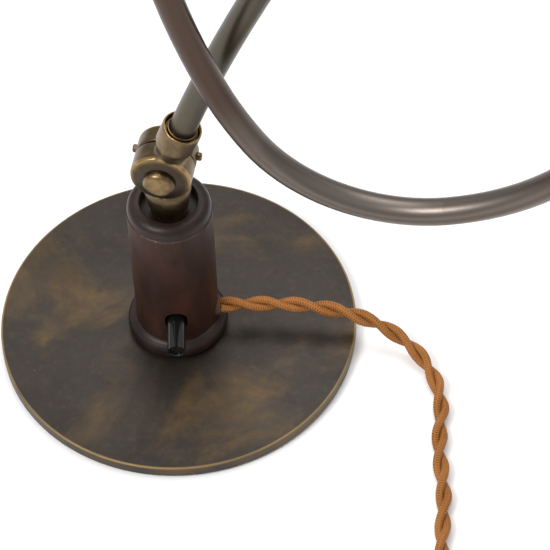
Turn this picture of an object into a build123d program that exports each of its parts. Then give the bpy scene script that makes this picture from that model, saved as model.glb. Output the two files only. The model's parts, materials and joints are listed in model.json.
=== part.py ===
from build123d import *

# Swing arm desk lamp. The origin is the centre of the base's underside, +Z is up, and the
# switch lever points along -Y. Both arms lie in parallel upright planes, turned a little
# about Z, in which a place is given as (s, z): s is level, away from the column's axis.

import os
from math import cos, pi, radians, sin, sqrt, tan

os.makedirs("parts", exist_ok=True)

# Base and column
base_diameter = 170.0
base_thickness = 6.1
base_edge_chamfer = 0.4
pad_thickness = 1.0
pad_inset = 4.0
column_diameter = 39.2
column_wall = 4.0
column_height = 84.9
foot_ring_flare = 4.1
foot_ring_height = 9.2
foot_ring_undercut = 2.0          # of the ring's foot, behind its widest line
foot_ring_shoulder = 1.8
foot_ring_lip = 1.1
column_edge_chamfer = 0.5
foot_plug_height = 10.0
base_screw_diameter = 4.0
base_screw_length = 12.0
base_screw_count = 3
cap_height = 6.5
cap_setback = 0.4
cap_shoulder = 4.4
cap_lip_width = 6.4
cap_edge_chamfer = 0.4
cap_spigot = 5.5
cap_web = 0.5

# Neck and its swivel
neck_diameter = 21.7
neck_foot_diameter = 17.2
neck_shank_diameter = 10.0
neck_shank_length = 13.5
neck_wire_bore = 6.0
neck_foot_height = 2.0            # where the taper starts above the column body's top
neck_foot_flare = 0.2
neck_taper_height = 14.0
bush_wall = 1.5
bush_flange_diameter = 18.0
bush_flange = 1.0
swivel_washer_thickness = 0.9
swivel_nut_width = 16.0
swivel_nut_height = 4.5

# Knuckles
lower_axis_height = 34.2          # knuckle axis above the column body's top
drum_diameter = 27.6
lower_rear_thickness = 9.7
lower_front_thickness = 11.0
lap_drum_thickness = 16.5
drum_cone_height = 1.5
drum_cone_diameter = 16.4
drum_edge = 0.8
split_gap = 0.6
barrel_wall = 1.1                 # round the recess in its mouth
barrel_mouth_round = 0.6
barrel_length = 33.0
barrel_root_diameter = 8.0
barrel_root_start = 5.0
barrel_root_end = 21.0
barrel_recess_gap = 1.2           # between the recess and the foot collar
barrel_recess_depth = 6.0
pivot_bolt_diameter = 6.0
bolt_head_diameter = 12.0
bolt_head_height = 2.6
bolt_head_round = 1.6
bolt_slot_width = 1.2
cap_nut_diameter = 14.5
cap_nut_height = 3.4
cap_nut_round = 2.4
friction_washer_diameter = 20.0
friction_washer_thickness = 0.5
side_screw_diameter = 2.0
side_screw_head_diameter = 3.8
side_screw_head_height = 1.9
side_screw_round = 0.8
side_screw_depth = 4.0

# Arms
swing_turn = 12.0                 # turn of the arms' planes about Z, degrees
stem_plane = 5.0                  # distances of the planes in front of the column's axis
arm_plane = 25.0
tube_diameter = 12.0
tube_wall = 1.0
socket_gap = 1.2                  # drum to the end of the tube inside its barrel
foot_collar_wall = 0.7
foot_collar_round = 0.5
foot_collar_width = 3.0
lead_diameter = 3.6
stem_lean = 18.9                  # degrees from upright at the lower knuckle
stem_moves = [(0.0, 18.0), (1080.0, -8.18), (74.7, -152.92), (0.0, 18.0)]
arm_lean = 237.4                  # direction of the arm where it leaves the elbow
arm_moves = [(0.0, 31.4), (110.7, -39.0), (71.3, -76.0), (188.1, -11.0), (396.0, -8.0),
             (0.0, 120.0), (60.0, 96.6), (0.0, 18.0)]

# Switch and the places where leads pass
lever_diameter = 8.6
lever_length = 27.6
lever_rest_drop = 2.0             # degrees below level
lever_height = 31.5
lever_pivot_depth = 4.0           # pivot behind the switch's plate
lever_dish_depth = 1.2
lever_dish_wall = 1.0
lever_edge_round = 0.4
lever_slot_gap = 1.4
lever_travel = 2.0                # extra length of the plate's slot
lever_eye_thickness = 6.2
slot_width = 10.4
slot_height = 12.8
slot_centre_height = 31.9
switch_width = 13.4
switch_depth = 11.9
switch_height = 20.0
switch_setback = 2.2              # of its plate, inside the column's bore
switch_pocket_gap = 1.2
switch_pin_diameter = 2.0
plate_thickness = 1.4
terminal_size = (13.0, 9.0, 10.0)
terminal_height = 51.0
terminal_setback = 3.0
terminal_round = 1.0
riser_bend_drops = (25.5, 17.0)   # where the lead inside the column bends, below the body's top

# Lampholder, shade and bulb
nipple_wall = 1.2
nipple_drop = 6.0
holder_cap_diameter = 31.0
holder_cap_height = 20.0
holder_cap_wall = 1.3
holder_diameter = 27.0
holder_length = 35.0
holder_drop = 7.0                 # barrel mouth to the top of the lampholder
holder_round = 2.5
holder_bore = 14.4
shade_drop = 21.0                 # barrel mouth to the top of the shade
shade_top_diameter = 38.0
shade_shoulder_radius = 30.0
shade_slope = 60.0                # degrees below level
shade_height = 52.0
shade_wall = 1.0
shade_bead = 1.3
shade_ring_diameter = 35.0
shade_ring_height = 5.0
bulb_diameter = 32.0
bulb_neck_flare = 0.6
bulb_shoulder = 1.0
bulb_cap_diameter = 13.6
bulb_cap_length = 19.0
bulb_cap_taper = 5.0
bulb_contact_diameter = 6.0

# Cord and plug
cord_diameter = 7.6
cord_exit_side = -3.0
cord_exit_height = 22.0
bush_bore = 5.2
bush_flange_out = 1.0
bush_wall_cord = 1.0
bush_round = 0.5
coil_centre = (70.0, -200.0)
coil_turn_radii = (33.0, 41.0, 49.0)
coil_layers = 2
coil_pitch = 7.8
coil_floor = 1.0
coil_round = 3.4
tie_width = 9.0
tie_thickness = 0.8
tie_slack = (1.2, 0.4)            # round the coil, across and in height
tie_round = 3.0
plug_diameter = 31.0
plug_length = 26.0
plug_sleeve_length = 20.0
plug_sleeve_diameter = 12.0
plug_sleeve_wall = 0.6
plug_sleeve_taper = 4.0
plug_cone = 5.0
plug_face_round = 1.5
plug_clearance = 0.1              # under the plug's widest line
plug_pin_diameter = 4.0
plug_pin_length = 19.0
plug_pin_spacing = 18.6
plug_pin_seat = 8.0
plug_pin_round = 1.0

# Fits
seat_gap = 0.05                   # between fixed pieces, and all round a running shaft
free_gap = 0.35                   # between curved faces that pass each other

pad_top = pad_thickness
disc_top = pad_top + base_thickness
body_top = disc_top + column_height
column_radius = column_diameter / 2
bore_radius = column_radius - column_wall
lower_axis = body_top + lower_axis_height
drum_radius = drum_diameter / 2
socket_start = drum_radius + socket_gap
clear_radius = drum_radius + free_gap
tube_radius = tube_diameter / 2
foot_collar_diameter = tube_diameter + 2 * foot_collar_wall
foot_collar_start = barrel_length - barrel_recess_depth + seat_gap
barrel_recess_diameter = foot_collar_diameter + 2 * barrel_recess_gap
barrel_diameter = barrel_recess_diameter + 2 * barrel_wall
cap_recess_diameter = column_diameter - 2 * cap_lip_width
bush_diameter = cord_diameter + 2 * bush_wall_cord
lap_split = (stem_plane + arm_plane) / 2

swing_across = Vector(cos(radians(swing_turn)), -sin(radians(swing_turn)), 0)
swing_front = Vector(-sin(radians(swing_turn)), -cos(radians(swing_turn)), 0)
swing = Plane(origin=(0, 0, 0), x_dir=swing_across, z_dir=swing_front)


def place(s, z, front):
    """A point of the swing planes in the lamp's frame."""
    return swing_across * s + swing_front * front + Vector(0, 0, z)


def follow(start, heading, moves):
    """The pieces of a path: (start, heading, radius, turn or length), and its end."""
    s, z = start
    pieces = []
    for radius, amount in moves:
        pieces.append(((s, z), heading, radius, amount))
        if radius == 0:
            s += amount * cos(radians(heading))
            z += amount * sin(radians(heading))
        else:
            side = 1 if amount > 0 else -1
            s -= side * radius * sin(radians(heading))
            z += side * radius * cos(radians(heading))
            heading += amount
            s += side * radius * sin(radians(heading))
            z -= side * radius * cos(radians(heading))
    return pieces, (s, z), heading


def from_centre(centre, heading, distance):
    return (centre[0] + distance * cos(radians(heading)), centre[1] + distance * sin(radians(heading)))


def bent_tube(pieces, front, radius, bore=0.0):
    """A tube, or a solid rod, along straight and round pieces of one swing plane."""
    with BuildPart() as tube:
        with BuildLine(swing.offset(front)) as centreline:
            for (s, z), heading, bend, amount in pieces:
                along = (cos(radians(heading)), sin(radians(heading)))
                if bend == 0:
                    Line((s, z), (s + amount * along[0], z + amount * along[1]))
                else:
                    JernArc(start=(s, z), tangent=along, radius=bend, arc_size=amount)
        (s, z), heading = pieces[0][0], pieces[0][1]
        along = swing_across * cos(radians(heading)) + Vector(0, 0, sin(radians(heading)))
        with BuildSketch(Plane(origin=place(s, z, front), z_dir=along)):
            Circle(radius)
            if bore:
                Circle(bore, mode=Mode.SUBTRACT)
        sweep()
    return tube.part


def turned(outline, plane=Plane.XZ, axis=Axis.Z):
    """A turned piece from its half outline, given as (radius, height) points."""
    with BuildPart() as piece:
        with BuildSketch(plane):
            with BuildLine():
                Polyline(*outline, close=True)
            make_face()
        revolve(axis=axis)
    return piece.part


def knuckle_plane(centre, split, side):
    """A plane on a knuckle's split face, its normal out of the half on that side."""
    return Plane(origin=place(*centre, split), x_dir=swing_across * side, z_dir=swing_front * side)


def knuckle_half(centre, split, side, thickness, barrel_offset, barrel_heading):
    """Half of a knuckle: a coned drum beside the split, and the barrel that a tube enters."""
    face = knuckle_plane(centre, split, side)
    along = swing_across * cos(radians(barrel_heading)) + Vector(0, 0, sin(radians(barrel_heading)))
    barrel_origin = face.origin + face.z_dir * barrel_offset
    with BuildPart() as half:
        with BuildSketch(Plane(origin=barrel_origin, x_dir=along, z_dir=face.z_dir)):
            with BuildLine():
                Polyline(
                    (barrel_root_start, 0),
                    (barrel_root_start, barrel_root_diameter / 2),
                    (barrel_root_end, barrel_diameter / 2),
                    (barrel_length, barrel_diameter / 2),
                    (barrel_length, 0),
                    close=True,
                )
            make_face()
        revolve(axis=Axis(barrel_origin, along))
        mouth_edges = half.edges().filter_by(GeomType.CIRCLE).sort_by(Axis(barrel_origin, along))
        fillet(mouth_edges[-1], barrel_mouth_round)
        with BuildSketch(face.offset(split_gap / 2)):
            Circle(clear_radius)
        extrude(amount=-barrel_diameter, mode=Mode.SUBTRACT)
        with BuildSketch(face.offset(thickness)):
            Circle(drum_radius)
        extrude(amount=barrel_diameter, mode=Mode.SUBTRACT)
        with BuildSketch(face.offset(split_gap / 2)):
            Circle(drum_radius)
        extrude(amount=thickness - split_gap / 2)
        with BuildSketch(face.offset(thickness)):
            Circle(drum_radius)
        with BuildSketch(face.offset(thickness + drum_cone_height)):
            Circle(drum_cone_diameter / 2)
        loft()
        with BuildSketch(face.offset(thickness + drum_cone_height)):
            Circle(cap_nut_diameter / 2 + free_gap)
        extrude(amount=barrel_diameter, mode=Mode.SUBTRACT)
        with BuildSketch(face):
            Circle(pivot_bolt_diameter / 2 + seat_gap)
        extrude(amount=thickness + drum_cone_height + barrel_diameter, mode=Mode.SUBTRACT)
        mouth = barrel_origin + along * barrel_length
        with BuildSketch(Plane(origin=mouth, z_dir=along * -1)):
            Circle(barrel_recess_diameter / 2)
        extrude(amount=barrel_recess_depth, mode=Mode.SUBTRACT)
        with BuildSketch(Plane(origin=mouth, z_dir=along * -1)):
            Circle(tube_radius + seat_gap)
        extrude(amount=barrel_length - socket_start + seat_gap, mode=Mode.SUBTRACT)
    return half.part


def pivot_bolt(centre, split, rear_face, front_face):
    """The bolt along a knuckle's axis, from its slotted head behind to its front end."""
    face = knuckle_plane(centre, split, 1)
    with BuildPart() as bolt:
        with BuildSketch(face.offset(-rear_face - seat_gap)):
            Circle(pivot_bolt_diameter / 2)
        extrude(amount=rear_face + front_face + cap_nut_height / 2)
        with BuildSketch(face.offset(-rear_face - seat_gap)):
            Circle(bolt_head_diameter / 2)
        extrude(amount=-bolt_head_height)
        round_edges = bolt.edges().filter_by(GeomType.CIRCLE).sort_by(Axis(face.origin, face.z_dir))
        fillet(round_edges[0], bolt_head_round)
        with BuildSketch(face.offset(-rear_face - seat_gap - bolt_head_height)):
            Rectangle(2 * bolt_head_diameter, bolt_slot_width)
        extrude(amount=bolt_head_height / 3, mode=Mode.SUBTRACT)
    return bolt.part


def cap_nut(centre, split, front_face):
    """The domed nut on the front end of a pivot bolt."""
    face = knuckle_plane(centre, split, 1)
    with BuildPart() as nut:
        with BuildSketch(face.offset(front_face + seat_gap)):
            Circle(cap_nut_diameter / 2)
        extrude(amount=cap_nut_height)
        round_edges = nut.edges().filter_by(GeomType.CIRCLE).sort_by(Axis(face.origin, face.z_dir))
        fillet(round_edges[-1], cap_nut_round)
        with BuildSketch(face.offset(front_face)):
            Circle(pivot_bolt_diameter / 2 + seat_gap / 2)
        extrude(amount=cap_nut_height / 2 + 2 * seat_gap, mode=Mode.SUBTRACT)
    return nut.part


def friction_washer(centre, split):
    with BuildPart() as washer:
        with BuildSketch(knuckle_plane(centre, split, 1).offset(-friction_washer_thickness / 2)):
            Circle(friction_washer_diameter / 2)
            Circle(pivot_bolt_diameter / 2 + seat_gap, mode=Mode.SUBTRACT)
        extrude(amount=friction_washer_thickness)
    return washer.part


def side_screws(centre, depth_behind):
    """Two round head screws in the sides of a rear drum, as separate solids."""
    with BuildPart() as screws:
        for side in (-1, 1):
            seat = place(centre[0] + side * drum_radius, centre[1], depth_behind)
            outward = swing_across * side
            with BuildSketch(Plane(origin=seat, z_dir=outward)):
                Circle(side_screw_head_diameter / 2)
            extrude(amount=side_screw_head_height)
            with BuildSketch(Plane(origin=seat, z_dir=outward)):
                Circle(side_screw_diameter / 2)
            extrude(amount=-side_screw_depth)
        tips = screws.faces().filter_by(GeomType.PLANE).sort_by(Axis((0, 0, 0), swing_across))
        fillet([tips[0].outer_wire().edges()[0], tips[-1].outer_wire().edges()[0]], side_screw_round)
    return screws.part


def screw_seats(centre, depth_behind):
    """The tapped holes of the side screws, with a small flat under each head."""
    with BuildPart() as holes:
        for side in (-1, 1):
            seat = place(centre[0] + side * drum_radius, centre[1], depth_behind)
            outward = swing_across * side
            with BuildSketch(Plane(origin=seat, z_dir=outward)):
                Circle(side_screw_diameter / 2 + seat_gap)
            extrude(amount=-side_screw_depth - seat_gap)
            with BuildSketch(Plane(origin=seat - outward * seat_gap, z_dir=outward)):
                Circle(side_screw_head_diameter / 2 + seat_gap)
            extrude(amount=side_screw_head_height)
    return holes.part


def foot_collar(centre, heading, front):
    """The ring round a tube where it enters its barrel."""
    along = swing_across * cos(radians(heading)) + Vector(0, 0, sin(radians(heading)))
    with BuildPart() as collar:
        with BuildSketch(Plane(origin=place(*centre, front) + along * foot_collar_start, z_dir=along)):
            Circle(foot_collar_diameter / 2)
            Circle(tube_radius + seat_gap, mode=Mode.SUBTRACT)
        extrude(amount=foot_collar_width)
        rims = collar.edges().filter_by(GeomType.CIRCLE)
        fillet(rims.sort_by(SortBy.RADIUS)[-2:], foot_collar_round)
    return collar.part


def save(part, name):
    part.label = name
    export_step(part, f"parts/{name}.step")


# Where the arms run. Each tube starts inside a barrel, socket_start from the knuckle's centre.
lower_centre = (0.0, lower_axis)
stem_heading = 90.0 - stem_lean
stem_path, stem_end, stem_end_heading = follow(
    from_centre(lower_centre, stem_heading, socket_start), stem_heading, stem_moves)
elbow_centre = from_centre(stem_end, stem_end_heading, socket_start)
arm_path, arm_end, arm_end_heading = follow(
    from_centre(elbow_centre, arm_lean, socket_start), arm_lean, arm_moves)
shade_centre = from_centre(arm_end, arm_end_heading, socket_start)
print("elbow centre", elbow_centre, "shade knuckle centre", shade_centre)

# Base
with BuildPart() as felt_pad:
    with BuildSketch():
        Circle(base_diameter / 2 - pad_inset)
    extrude(amount=pad_thickness)
save(felt_pad.part, "felt_pad")

screw_ring = bore_radius - base_screw_diameter
with BuildPart() as base_disc:
    with BuildSketch(Plane.XY.offset(pad_top)):
        Circle(base_diameter / 2)
    extrude(amount=base_thickness)
    chamfer(base_disc.edges(), base_edge_chamfer)
    with PolarLocations(screw_ring, base_screw_count, start_angle=-90):
        with Locations((0, 0, pad_top)):
            Cone(base_screw_diameter + seat_gap, base_screw_diameter / 2 + seat_gap, base_screw_diameter / 2,
                 align=(Align.CENTER, Align.CENTER, Align.MIN), mode=Mode.SUBTRACT)
            Cylinder(base_screw_diameter / 2 + seat_gap, base_thickness,
                     align=(Align.CENTER, Align.CENTER, Align.MIN), mode=Mode.SUBTRACT)
save(base_disc.part, "base_disc")

with BuildPart() as base_screws:
    with PolarLocations(screw_ring, base_screw_count, start_angle=-90):
        with Locations((0, 0, pad_top)):
            Cone(base_screw_diameter, base_screw_diameter / 2, base_screw_diameter / 2,
                 align=(Align.CENTER, Align.CENTER, Align.MIN))
            Cylinder(base_screw_diameter / 2, base_screw_length,
                     align=(Align.CENTER, Align.CENTER, Align.MIN))
save(base_screws.part, "base_screws")

with BuildPart() as foot_plug:
    with BuildSketch(Plane.XY.offset(disc_top)):
        Circle(bore_radius - seat_gap)
        with PolarLocations(screw_ring, base_screw_count, start_angle=-90):
            Circle(base_screw_diameter / 2 + seat_gap, mode=Mode.SUBTRACT)
    extrude(amount=foot_plug_height)
save(foot_plug.part, "foot_plug")

# Column
ring_inner = column_radius + seat_gap
ring_outer = column_radius + foot_ring_flare
with BuildPart() as foot_ring:
    with BuildSketch(Plane.XZ):
        with BuildLine():
            inner = Line((ring_inner, disc_top + foot_ring_height), (ring_inner, disc_top))
            base = Line(inner @ 1, (ring_outer - foot_ring_undercut, disc_top))
            ThreePointArc(base @ 1, (ring_outer, disc_top + 0.45 * foot_ring_height),
                          (ring_outer - foot_ring_shoulder, disc_top + 0.84 * foot_ring_height))
            ThreePointArc((ring_outer - foot_ring_shoulder, disc_top + 0.84 * foot_ring_height),
                          (ring_inner + foot_ring_lip, disc_top + 0.95 * foot_ring_height), inner @ 0)
        make_face()
    revolve(axis=Axis.Z)
save(foot_ring.part, "foot_ring")

bush_x = sqrt(column_radius ** 2 - cord_exit_side ** 2)
cord_plane = Plane(origin=(0, cord_exit_side, cord_exit_height), x_dir=(0, 1, 0), z_dir=(1, 0, 0))
with BuildPart() as column_body:
    with BuildSketch(Plane.XY.offset(disc_top)):
        Circle(column_radius)
        Circle(bore_radius, mode=Mode.SUBTRACT)
    extrude(amount=column_height)
    chamfer(column_body.edges().group_by(Axis.Z)[-1].sort_by(SortBy.RADIUS)[-1], column_edge_chamfer)
    with BuildSketch(Plane.XZ):
        with Locations((0, slot_centre_height)):
            SlotOverall(slot_height, slot_width, rotation=90)
    extrude(amount=base_diameter / 2, mode=Mode.SUBTRACT)
    with BuildSketch(cord_plane):
        Circle(bush_diameter / 2 + seat_gap)
    extrude(amount=base_diameter / 2, mode=Mode.SUBTRACT)
save(column_body.part, "column_body")

cap_radius = column_radius - cap_setback
cap_bore = neck_shank_diameter / 2 + bush_wall + 2 * seat_gap
recess_floor = body_top + cap_web
with BuildPart() as column_cap:
    with BuildSketch(Plane.XY.offset(body_top - cap_spigot)):
        Circle(bore_radius - seat_gap)
    extrude(amount=cap_spigot)
    with BuildSketch(Plane.XY.offset(body_top)):
        Circle(cap_radius)
    extrude(amount=cap_height)
    fillet(column_cap.edges().group_by(Axis.Z)[-1], cap_shoulder)
    with BuildSketch(Plane.XY.offset(recess_floor)):
        Circle(cap_recess_diameter / 2)
    extrude(amount=cap_height, mode=Mode.SUBTRACT)
    chamfer(column_cap.edges().group_by(Axis.Z)[-1], cap_edge_chamfer)
    with Locations((0, 0, body_top)):
        Hole(cap_bore)
save(column_cap.part, "column_cap")

shank_radius = neck_shank_diameter / 2
with BuildPart() as swivel_bush:
    with BuildSketch(Plane.XY.offset(body_top - cap_spigot)):
        Circle(cap_bore - seat_gap)
    extrude(amount=cap_spigot + cap_web + bush_flange)
    with BuildSketch(Plane.XY.offset(recess_floor)):
        Circle(bush_flange_diameter / 2)
    extrude(amount=bush_flange)
    with Locations((0, 0, recess_floor)):
        Hole(shank_radius + seat_gap)
save(swivel_bush.part, "swivel_bush")

# Neck: shank, taper and the rear half of the lower knuckle
neck_foot = recess_floor + bush_flange + seat_gap
taper_start = body_top + neck_foot_height
lower_face = knuckle_plane(lower_centre, 0, 1)
lower_screw_depth = -lower_rear_thickness / 2
with BuildPart() as neck:
    with BuildSketch(Plane.XZ):
        with BuildLine():
            Polyline(
                (neck_wire_bore / 2, neck_foot - neck_shank_length),
                (shank_radius, neck_foot - neck_shank_length),
                (shank_radius, neck_foot),
                (neck_foot_diameter / 2, neck_foot),
                (neck_foot_diameter / 2 + neck_foot_flare, taper_start),
                (neck_diameter / 2, taper_start + neck_taper_height),
                (neck_diameter / 2, lower_axis),
                (0, lower_axis),
                (0, taper_start + neck_taper_height),
                (neck_wire_bore / 2, taper_start + neck_taper_height),
                close=True,
            )
        make_face()
    revolve(axis=Axis.Z)
    with BuildSketch(lower_face.offset(-split_gap / 2)):
        Circle(clear_radius)
    extrude(amount=drum_diameter, mode=Mode.SUBTRACT)
    with BuildSketch(lower_face.offset(-split_gap / 2)):
        Circle(drum_radius)
    extrude(amount=split_gap / 2 + drum_edge - lower_rear_thickness)
    with BuildSketch(lower_face.offset(drum_edge - lower_rear_thickness)):
        Circle(drum_radius)
    with BuildSketch(lower_face.offset(-lower_rear_thickness)):
        Circle(drum_radius - drum_edge)
    loft()
    with BuildSketch(lower_face):
        Circle(pivot_bolt_diameter / 2 + seat_gap)
    extrude(amount=-2 * drum_diameter, mode=Mode.SUBTRACT)
    with BuildSketch(lower_face.offset(-lower_rear_thickness)):
        Circle(bolt_head_diameter / 2 + free_gap)
    extrude(amount=-drum_diameter, mode=Mode.SUBTRACT)
    add(screw_seats(lower_centre, lower_screw_depth), mode=Mode.SUBTRACT)
save(neck.part, "neck")

nut_top = body_top - cap_spigot - swivel_washer_thickness - 2 * seat_gap
with BuildPart() as swivel_washer:
    with BuildSketch(Plane.XY.offset(nut_top + seat_gap)):
        Circle(swivel_nut_width / 2)
        Circle(shank_radius + seat_gap, mode=Mode.SUBTRACT)
    extrude(amount=swivel_washer_thickness)
save(swivel_washer.part, "swivel_washer")

with BuildPart() as swivel_nut:
    with BuildSketch(Plane.XY.offset(nut_top)):
        RegularPolygon(swivel_nut_width / 2, 6, major_radius=False)
        Circle(shank_radius + seat_gap / 2, mode=Mode.SUBTRACT)
    extrude(amount=-swivel_nut_height)
save(swivel_nut.part, "swivel_nut")

# Switch
switch_front = -(bore_radius - switch_setback)
pivot_y = switch_front + plate_thickness + lever_pivot_depth
with BuildPart() as switch_body:
    with BuildSketch(Plane.XY.offset(lever_height - switch_height / 2)):
        with Locations((0, switch_front + plate_thickness + seat_gap + switch_depth / 2)):
            Rectangle(switch_width, switch_depth)
    extrude(amount=switch_height)
    with BuildSketch(Plane(origin=(0, pivot_y + lever_diameter / 2 + switch_pocket_gap, lever_height),
                           z_dir=(0, -1, 0))):
        Circle(lever_diameter / 2 + switch_pocket_gap)
    extrude(amount=switch_depth, mode=Mode.SUBTRACT)
    with BuildSketch(Plane(origin=(0, pivot_y, lever_height), z_dir=(1, 0, 0))):
        Circle(switch_pin_diameter / 2 + seat_gap)
    extrude(amount=switch_width, both=True, mode=Mode.SUBTRACT)
save(switch_body.part, "switch_body")

with BuildPart() as switch_pin:
    with BuildSketch(Plane(origin=(0, pivot_y, lever_height), z_dir=(1, 0, 0))):
        Circle(switch_pin_diameter / 2)
    extrude(amount=switch_width / 2 - seat_gap, both=True)
save(switch_pin.part, "switch_pin")

with BuildPart() as switch_plate:
    with BuildSketch(Plane(origin=(0, switch_front + plate_thickness, lever_height), x_dir=(1, 0, 0),
                           z_dir=(0, -1, 0))):
        Rectangle(switch_width, switch_height)
        with Locations((0, lever_slot_gap / 2)):
            SlotOverall(lever_diameter + lever_slot_gap + lever_travel, lever_diameter + lever_slot_gap,
                        rotation=90, mode=Mode.SUBTRACT)
    extrude(amount=plate_thickness)
save(switch_plate.part, "switch_plate")

lever_along = Vector(0, -cos(radians(lever_rest_drop)), -sin(radians(lever_rest_drop)))
lever_root = Plane(origin=(0, pivot_y, lever_height), x_dir=(1, 0, 0), z_dir=lever_along)
with BuildPart() as switch_lever:
    with BuildSketch(lever_root):
        Circle(lever_diameter / 2)
    extrude(amount=lever_length)
    with BuildSketch(lever_root.offset(lever_length)):
        Circle(lever_diameter / 2 - lever_dish_wall)
    extrude(amount=-lever_dish_depth, mode=Mode.SUBTRACT)
    rims = switch_lever.edges().filter_by(GeomType.CIRCLE).sort_by(Axis(lever_root.origin, lever_along))
    fillet(rims[-1], lever_edge_round)
    with BuildSketch(Plane(origin=(0, pivot_y, lever_height), z_dir=(1, 0, 0))):
        Circle(lever_diameter / 2)
    extrude(amount=lever_eye_thickness / 2, both=True)
    with BuildSketch(Plane(origin=(0, pivot_y, lever_height), z_dir=(1, 0, 0))):
        Circle(switch_pin_diameter / 2 + seat_gap)
    extrude(amount=lever_diameter, both=True, mode=Mode.SUBTRACT)
save(switch_lever.part, "switch_lever")

terminal_y = bore_radius - terminal_size[1] / 2 - terminal_setback
with BuildPart() as terminal_block:
    with BuildSketch(Plane.XY.offset(terminal_height)):
        with Locations((0, terminal_y)):
            Rectangle(terminal_size[0], terminal_size[1])
    extrude(amount=terminal_size[2])
    fillet(terminal_block.edges().filter_by(Axis.Z), terminal_round)
save(terminal_block.part, "terminal_block")

# Cord bush and the leads inside the column
bush_face = bush_x + bush_flange_out
with BuildPart() as cord_bush:
    with BuildSketch(cord_plane.offset(bush_x - column_wall)):
        Circle(bush_diameter / 2)
    extrude(amount=bush_face - bush_x + column_wall)
    fillet(cord_bush.edges().filter_by(GeomType.CIRCLE).sort_by(Axis.X)[-1], bush_round)
    with BuildSketch(cord_plane):
        Circle(bush_bore / 2)
    extrude(amount=base_diameter / 2, mode=Mode.SUBTRACT)
save(cord_bush.part, "cord_bush")

lead_radius = lead_diameter / 2
supply_points = [
    (bush_face - seat_gap, cord_exit_side, cord_exit_height),
    (10.2, cord_exit_side, cord_exit_height),
    (9.8, 6.0, 27.0),
    (1.0, terminal_y, 40.0),
    (1.0, terminal_y, terminal_height - seat_gap),
]
with BuildPart() as supply_lead:
    with BuildLine() as supply_line:
        FilletPolyline(*supply_points, radius=2.6)
    with BuildSketch(Plane(origin=supply_line.line @ 0, z_dir=supply_line.line % 0)):
        Circle(lead_radius)
    sweep()
save(supply_lead.part, "supply_lead")

riser_points = [
    (0, terminal_y, terminal_height + terminal_size[2] + seat_gap),
    (0, terminal_y, body_top - riser_bend_drops[0]),
    (0, 0.0, body_top - riser_bend_drops[1]),
    (0, 0.0, taper_start + neck_taper_height - 1.0),
]
with BuildPart() as riser_lead:
    with BuildLine() as riser_line:
        FilletPolyline(*riser_points, radius=4.0)
    with BuildSketch(Plane(origin=riser_line.line @ 0, z_dir=riser_line.line % 0)):
        Circle(lead_radius)
    sweep()
save(riser_lead.part, "riser_lead")

# Lower knuckle
lower_front_face = lower_front_thickness + drum_cone_height
save(knuckle_half(lower_centre, 0, 1, lower_front_thickness, stem_plane, stem_heading), "stem_knuckle")
save(pivot_bolt(lower_centre, 0, lower_rear_thickness, lower_front_face), "lower_bolt")
save(cap_nut(lower_centre, 0, lower_front_face), "lower_cap_nut")
save(friction_washer(lower_centre, 0), "lower_washer")
save(side_screws(lower_centre, lower_screw_depth), "lower_side_screws")
save(foot_collar(lower_centre, stem_heading, stem_plane), "stem_collar")

# Stem
save(bent_tube(stem_path, stem_plane, tube_radius, tube_radius - tube_wall), "stem_tube")
save(bent_tube(stem_path, stem_plane, lead_radius), "stem_lead")

# Elbow: the stem's half is behind, the arm's half in front
lap_offset = (arm_plane - stem_plane) / 2
lap_face = lap_drum_thickness + drum_cone_height
elbow_screw_depth = lap_split - lap_drum_thickness / 2
with BuildPart() as elbow_rear:
    add(knuckle_half(elbow_centre, lap_split, -1, lap_drum_thickness, lap_offset, stem_end_heading + 180))
    add(screw_seats(elbow_centre, elbow_screw_depth), mode=Mode.SUBTRACT)
save(elbow_rear.part, "elbow_rear")
save(knuckle_half(elbow_centre, lap_split, 1, lap_drum_thickness, lap_offset, arm_lean), "elbow_front")
save(pivot_bolt(elbow_centre, lap_split, lap_face, lap_face), "elbow_bolt")
save(cap_nut(elbow_centre, lap_split, lap_face), "elbow_cap_nut")
save(friction_washer(elbow_centre, lap_split), "elbow_washer")
save(side_screws(elbow_centre, elbow_screw_depth), "elbow_side_screws")
save(foot_collar(elbow_centre, stem_end_heading + 180, stem_plane), "elbow_stem_collar")
save(foot_collar(elbow_centre, arm_lean, arm_plane), "elbow_arm_collar")

# Arm
save(bent_tube(arm_path, arm_plane, tube_radius, tube_radius - tube_wall), "arm_tube")
save(bent_tube(arm_path, arm_plane, lead_radius), "arm_lead")

# Shade knuckle: the arm's half is in front, the shade's half behind, its barrel downward
save(knuckle_half(shade_centre, lap_split, 1, lap_drum_thickness, lap_offset, arm_end_heading + 180),
     "shade_knuckle_front")
with BuildPart() as shade_knuckle_rear:
    add(knuckle_half(shade_centre, lap_split, -1, lap_drum_thickness, lap_offset, 270.0))
    add(screw_seats(shade_centre, elbow_screw_depth), mode=Mode.SUBTRACT)
save(shade_knuckle_rear.part, "shade_knuckle_rear")
save(pivot_bolt(shade_centre, lap_split, lap_face, lap_face), "shade_bolt")
save(cap_nut(shade_centre, lap_split, lap_face), "shade_cap_nut")
save(friction_washer(shade_centre, lap_split), "shade_washer")
save(side_screws(shade_centre, elbow_screw_depth), "shade_side_screws")
save(foot_collar(shade_centre, arm_end_heading + 180, arm_plane), "shade_arm_collar")

# Lampholder, shade and bulb, turned about the shade's own axis
holder_top = place(shade_centre[0], shade_centre[1] - barrel_length, stem_plane)
shade_plane = Plane(origin=holder_top, x_dir=(1, 0, 0), z_dir=(0, -1, 0))
shade_axis = Axis(holder_top, (0, 0, 1))
nipple_radius = tube_radius

save(turned([
    (nipple_radius - nipple_wall, barrel_length - socket_start - 1.0),
    (nipple_radius, barrel_length - socket_start - 1.0),
    (nipple_radius, -nipple_drop),
    (nipple_radius - nipple_wall, -nipple_drop),
], shade_plane, shade_axis), "holder_nipple")

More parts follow.
